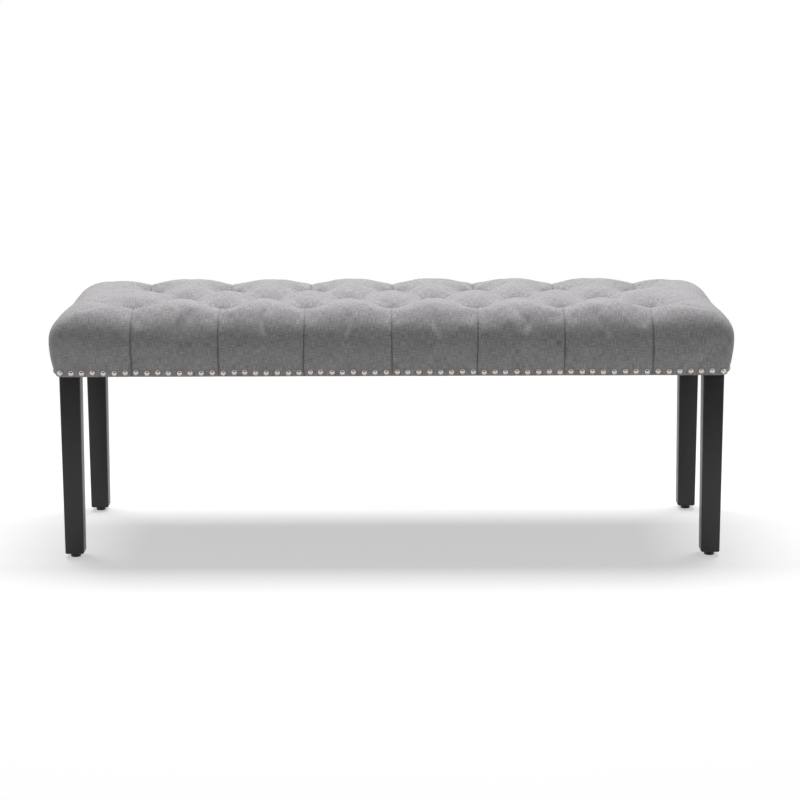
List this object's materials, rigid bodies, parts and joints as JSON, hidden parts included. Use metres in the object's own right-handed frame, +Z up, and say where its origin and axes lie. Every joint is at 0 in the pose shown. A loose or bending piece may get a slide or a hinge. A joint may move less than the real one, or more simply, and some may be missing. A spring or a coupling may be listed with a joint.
{
  "type": "upholstered bench",
  "caption": "Long backless bench with a diamond-tufted upholstered seat, domed nail trim along its lower edge and square tapered legs on levelling feet.",
  "frame": {"origin": "on the floor, under the middle of the seat", "axes": "+Z up, +X along the bench towards its right end as seen from the front, -Y towards the front"},
  "size_m": [1.199, 0.3994, 0.4578],
  "materials": {
    "grey_linen": "woven linen-look upholstery fabric, heathered mid grey",
    "foam": "open-cell upholstery foam",
    "frame_timber": "sawn pine",
    "deck_plywood": "sanded plywood",
    "twine": "waxed upholstery twine",
    "black_lining": "non-woven lining",
    "bright_nickel": "bright polished nickel",
    "black_satin_wood": "black satin lacquer",
    "black_nylon": "moulded black nylon",
    "insert_brass": "machined",
    "zinc_steel": "zinc plated"
  },
  "bodies": {
    "root": {"back_rail": "frame_timber", "brace_screws": "zinc_steel", "corner_block_back_left": "frame_timber", "corner_block_back_right": "frame_timber", "corner_block_front_left": "frame_timber", "corner_block_front_right": "frame_timber", "corner_block_screws": "zinc_steel", "deck_screws": "zinc_steel", "dust_cover": "black_lining", "dust_cover_staples": "zinc_steel", "foam_pad": "foam", "foot_inserts": "insert_brass", "front_rail": "frame_timber", "left_cross_brace": "frame_timber", "left_end_rail": "frame_timber", "leg_back_left": "black_satin_wood", "leg_back_right": "black_satin_wood", "leg_bolts": "zinc_steel", "leg_front_left": "black_satin_wood", "leg_front_right": "black_satin_wood", "leg_inserts": "insert_brass", "nails_back": "bright_nickel", "nails_front": "bright_nickel", "nails_left": "bright_nickel", "nails_right": "bright_nickel", "rail_screws": "zinc_steel", "right_cross_brace": "frame_timber", "right_end_rail": "frame_timber", "seat_deck": "deck_plywood", "tuft_buttons_back_row": "grey_linen", "tuft_buttons_front_row": "grey_linen", "tuft_buttons_middle_row": "grey_linen", "tuft_cord_staples": "zinc_steel", "tuft_cords": "twine", "upholstery_cover": "grey_linen"},
    "foot_pad_front_left": {"foot_pad_front_left": "black_nylon"},
    "foot_stud_front_left": {"foot_stud_front_left": "zinc_steel"},
    "foot_pad_front_right": {"foot_pad_front_right": "black_nylon"},
    "foot_stud_front_right": {"foot_stud_front_right": "zinc_steel"},
    "foot_pad_back_left": {"foot_pad_back_left": "black_nylon"},
    "foot_stud_back_left": {"foot_stud_back_left": "zinc_steel"},
    "foot_pad_back_right": {"foot_pad_back_right": "black_nylon"},
    "foot_stud_back_right": {"foot_stud_back_right": "zinc_steel"}
  },
  "joints": [
    {"name": "foot_slide_front_left", "type": "slide", "parent": "root", "child": "foot_pad_front_left", "axis": [0, 0, -1], "range_m": [0, 0.01]},
    {"name": "foot_turn_front_left", "type": "hinge", "parent": "foot_pad_front_left", "child": "foot_stud_front_left", "pos_m": [-0.5655, -0.1655, 0.0076], "axis": [0, 0, -1], "range_deg": [0, 2880]},
    {"name": "foot_slide_front_right", "type": "slide", "parent": "root", "child": "foot_pad_front_right", "axis": [0, 0, -1], "range_m": [0, 0.01]},
    {"name": "foot_turn_front_right", "type": "hinge", "parent": "foot_pad_front_right", "child": "foot_stud_front_right", "pos_m": [0.5655, -0.1655, 0.0076], "axis": [0, 0, -1], "range_deg": [0, 2880]},
    {"name": "foot_slide_back_left", "type": "slide", "parent": "root", "child": "foot_pad_back_left", "axis": [0, 0, -1], "range_m": [0, 0.01]},
    {"name": "foot_turn_back_left", "type": "hinge", "parent": "foot_pad_back_left", "child": "foot_stud_back_left", "pos_m": [-0.5655, 0.1655, 0.0076], "axis": [0, 0, -1], "range_deg": [0, 2880]},
    {"name": "foot_slide_back_right", "type": "slide", "parent": "root", "child": "foot_pad_back_right", "axis": [0, 0, -1], "range_m": [0, 0.01]},
    {"name": "foot_turn_back_right", "type": "hinge", "parent": "foot_pad_back_right", "child": "foot_stud_back_right", "pos_m": [0.5655, 0.1655, 0.0076], "axis": [0, 0, -1], "range_deg": [0, 2880]}
  ],
  "couplings": [
    {"joint": "foot_turn_front_left", "follows": "foot_slide_front_left", "rad_per_m": 5026.5},
    {"joint": "foot_turn_front_right", "follows": "foot_slide_front_right", "rad_per_m": 5026.5},
    {"joint": "foot_turn_back_left", "follows": "foot_slide_back_left", "rad_per_m": 5026.5},
    {"joint": "foot_turn_back_right", "follows": "foot_slide_back_right", "rad_per_m": 5026.5}
  ]
}
